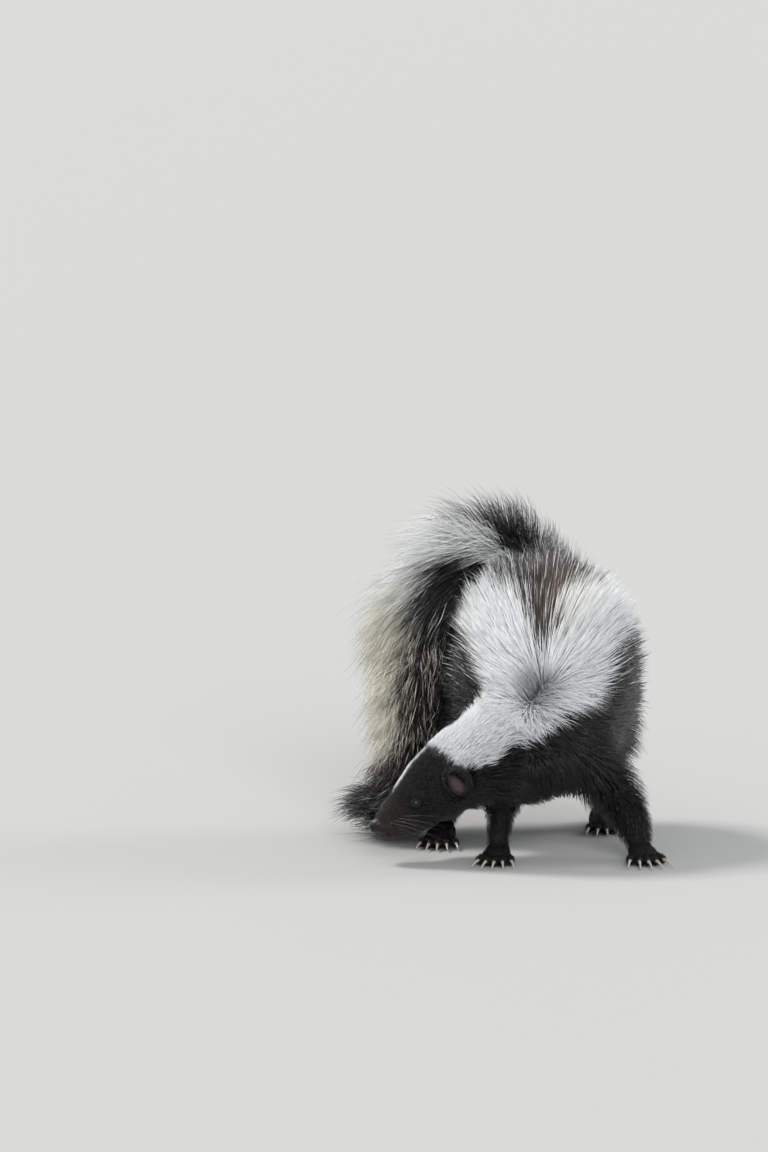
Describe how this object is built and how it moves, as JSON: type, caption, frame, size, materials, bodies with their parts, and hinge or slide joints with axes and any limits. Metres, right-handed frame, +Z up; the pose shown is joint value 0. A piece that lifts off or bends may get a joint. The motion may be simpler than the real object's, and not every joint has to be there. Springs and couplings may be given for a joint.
{
  "type": "striped skunk model",
  "caption": "Life-size still model of a striped skunk standing with its head low and its bushy tail curled over and down to the floor.",
  "frame": {"origin": "on the floor under the middle of the whole animal's box", "axes": "+Z up, -Y the way the skunk faces, +X its left side"},
  "size_m": [0.2552, 0.3002, 0.2413],
  "materials": {
    "coat": "long glossy black fur",
    "stripe": "long soft white fur",
    "leather": "bare dark skin with a soft sheen",
    "eye": "wet and glossy",
    "claw": "pale horn, worn at the tip",
    "whisker": "fine dark bristle"
  },
  "bodies": {
    "root": {"head": "coat", "nose": "leather", "ear_left": "coat", "ear_right": "coat", "eye_left": "eye", "eye_right": "eye", "neck": "stripe", "torso": "coat", "tail_root": "coat", "tail_arch": "coat", "tail_fall": "coat", "tail_tip": "coat", "forefoot_right": "coat", "foreleg_right": "coat", "forefoot_left": "coat", "foreleg_left": "coat", "hindfoot_right": "coat", "hindleg_right": "coat", "hindfoot_left": "coat", "hindleg_left": "coat"}
  },
  "joints": []
}
